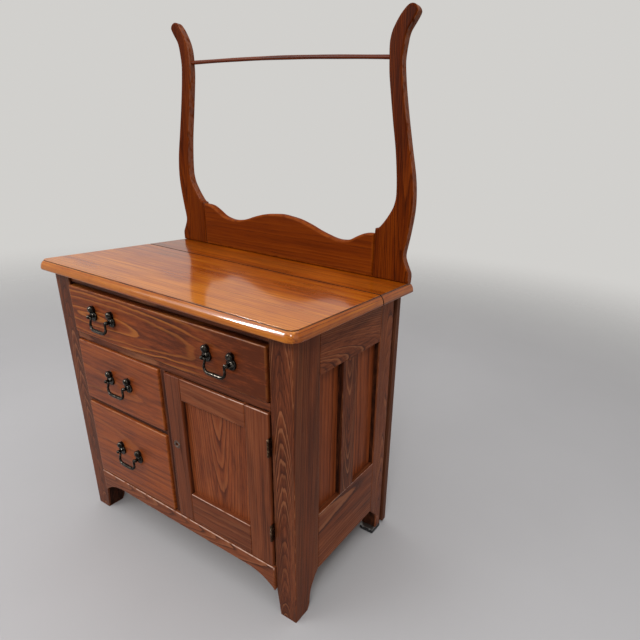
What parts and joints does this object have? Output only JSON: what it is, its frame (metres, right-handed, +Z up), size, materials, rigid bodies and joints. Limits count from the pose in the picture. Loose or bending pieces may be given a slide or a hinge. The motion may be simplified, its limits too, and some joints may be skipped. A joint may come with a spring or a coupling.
{
  "type": "washstand",
  "caption": "Wooden washstand with a harp towel rail over a moulded top, a long drawer, short drawers beside a panelled cupboard door, and panelled sides.",
  "frame": {"origin": "on the floor, under the middle of the top's outline", "axes": "+Z up, -Y towards the front, +X towards the side with the hinged door"},
  "size_m": [0.762, 0.422, 1.2402],
  "materials": {
    "top_wood": "glossy orange-brown varnish",
    "harp_wood": "dark red-brown varnish",
    "frame_wood": "worn satin varnish",
    "panel_wood": "worn satin varnish",
    "front_wood": "worn satin varnish",
    "inner_wood": "raw, aged",
    "box_wood": "raw, aged",
    "dark_metal": "blackened, rubbed bright on the edges",
    "old_brass": "tarnished",
    "rubber": "matt black"
  },
  "bodies": {
    "carcass": {"top_front_board": "top_wood", "top_back_board": "top_wood", "harp_post_left": "harp_wood", "harp_post_right": "harp_wood", "backsplash": "harp_wood", "towel_bar": "harp_wood", "front_post_left": "frame_wood", "front_post_right": "frame_wood", "rear_post_left": "frame_wood", "rear_post_right": "frame_wood", "rear_pad_left": "rubber", "rear_pad_right": "rubber", "side_top_rail_left": "frame_wood", "side_top_rail_right": "frame_wood", "side_bottom_rail_left": "frame_wood", "side_bottom_rail_right": "frame_wood", "side_muntin_left": "frame_wood", "side_muntin_right": "frame_wood", "side_front_panel_left": "panel_wood", "side_front_panel_right": "panel_wood", "side_rear_panel_left": "panel_wood", "side_rear_panel_right": "panel_wood", "back_board": "inner_wood", "front_top_rail": "frame_wood", "divider_rail": "frame_wood", "drawer_runner_left": "inner_wood", "drawer_runner_right": "inner_wood", "partition": "frame_wood", "short_drawer_shelf": "frame_wood", "cupboard_bottom": "inner_wood", "front_apron": "front_wood", "upper_hinge_frame_leaf": "dark_metal", "lower_hinge_frame_leaf": "dark_metal"},
    "long_drawer": {"long_drawer_front": "front_wood", "long_drawer_box": "box_wood", "long_left_pull_left_mount": "dark_metal", "long_left_pull_right_mount": "dark_metal", "long_right_pull_left_mount": "dark_metal", "long_right_pull_right_mount": "dark_metal"},
    "upper_drawer": {"upper_drawer_front": "front_wood", "upper_drawer_box": "box_wood", "upper_pull_left_mount": "dark_metal", "upper_pull_right_mount": "dark_metal"},
    "lower_drawer": {"lower_drawer_front": "front_wood", "lower_drawer_box": "box_wood", "lower_pull_left_mount": "dark_metal", "lower_pull_right_mount": "dark_metal"},
    "door": {"door_left_stile": "frame_wood", "door_right_stile": "frame_wood", "door_top_rail": "frame_wood", "door_bottom_rail": "frame_wood", "door_panel": "panel_wood", "keyhole_ring": "old_brass", "upper_hinge_door_leaf": "dark_metal", "lower_hinge_door_leaf": "dark_metal"},
    "long_left_bail": {"long_left_pull_bail": "dark_metal"},
    "long_right_bail": {"long_right_pull_bail": "dark_metal"},
    "upper_bail": {"upper_pull_bail": "dark_metal"},
    "lower_bail": {"lower_pull_bail": "dark_metal"}
  },
  "joints": [
    {"name": "long_drawer_slide", "type": "slide", "parent": "carcass", "child": "long_drawer", "axis": [0, -1, 0], "range_m": [0, 0.26]},
    {"name": "upper_drawer_slide", "type": "slide", "parent": "carcass", "child": "upper_drawer", "axis": [0, -1, 0], "range_m": [0, 0.26]},
    {"name": "lower_drawer_slide", "type": "slide", "parent": "carcass", "child": "lower_drawer", "axis": [0, -1, 0], "range_m": [0, 0.26]},
    {"name": "door_hinge", "type": "hinge", "parent": "carcass", "child": "door", "pos_m": [0.301, -0.1945, 0.333], "axis": [0, 0, 1], "range_deg": [0, 110]},
    {"name": "long_left_bail_swing", "type": "hinge", "parent": "long_drawer", "child": "long_left_bail", "pos_m": [-0.182, -0.2038, 0.58775], "axis": [-1, 0, 0], "range_deg": [0, 100]},
    {"name": "long_right_bail_swing", "type": "hinge", "parent": "long_drawer", "child": "long_right_bail", "pos_m": [0.182, -0.2038, 0.58775], "axis": [-1, 0, 0], "range_deg": [0, 100]},
    {"name": "upper_bail_swing", "type": "hinge", "parent": "upper_drawer", "child": "upper_bail", "pos_m": [-0.15625, -0.2038, 0.43425], "axis": [-1, 0, 0], "range_deg": [0, 100]},
    {"name": "lower_bail_swing", "type": "hinge", "parent": "lower_drawer", "child": "lower_bail", "pos_m": [-0.15625, -0.2038, 0.24075], "axis": [-1, 0, 0], "range_deg": [0, 100]}
  ]
}
